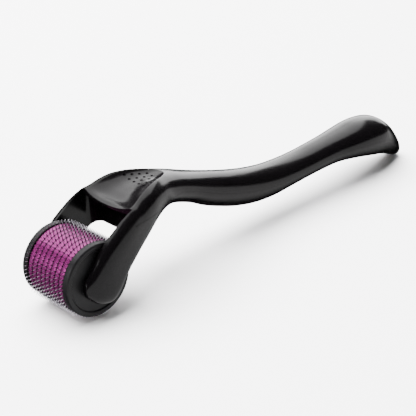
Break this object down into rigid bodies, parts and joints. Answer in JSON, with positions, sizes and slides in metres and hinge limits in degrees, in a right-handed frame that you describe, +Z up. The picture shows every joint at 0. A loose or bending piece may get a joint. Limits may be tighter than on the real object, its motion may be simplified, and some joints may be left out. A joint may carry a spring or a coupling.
{
  "type": "derma roller",
  "caption": "Hand-held derma roller: a drum of stacked needle discs and spacer rings spinning in the fork of a curved two-shell handle with a dimpled thumb rest.",
  "frame": {"origin": "on the surface the roller rests on, under the middle of its bounding box", "axes": "+X from the drum to the handle's tail, +Y along the drum's axis towards the far arm, +Z up"},
  "size_m": [0.1422, 0.0258, 0.0289],
  "materials": {
    "handle_plastic": "high gloss",
    "flange_plastic": "satin",
    "core_plastic": "satin",
    "needle_steel": "bright, etched sheet",
    "ring_plastic": "pearl"
  },
  "bodies": {
    "handle": {"fork_body": "handle_plastic", "top_cover": "handle_plastic"},
    "drum": {"drum_core": "core_plastic", "near_end_flange": "flange_plastic", "far_end_flange": "flange_plastic", "needle_disc_1": "needle_steel", "needle_disc_2": "needle_steel", "needle_disc_3": "needle_steel", "needle_disc_4": "needle_steel", "needle_disc_5": "needle_steel", "needle_disc_6": "needle_steel", "needle_disc_7": "needle_steel", "needle_disc_8": "needle_steel", "needle_disc_9": "needle_steel", "spacer_ring_1": "ring_plastic", "spacer_ring_2": "ring_plastic", "spacer_ring_3": "ring_plastic", "spacer_ring_4": "ring_plastic", "spacer_ring_5": "ring_plastic", "spacer_ring_6": "ring_plastic", "spacer_ring_7": "ring_plastic", "spacer_ring_8": "ring_plastic"}
  },
  "joints": [
    {"name": "drum_spin", "type": "hinge", "parent": "handle", "child": "drum", "pos_m": [-0.06015, 0, 0.0109], "axis": [0, 1, 0], "continuous": true}
  ]
}
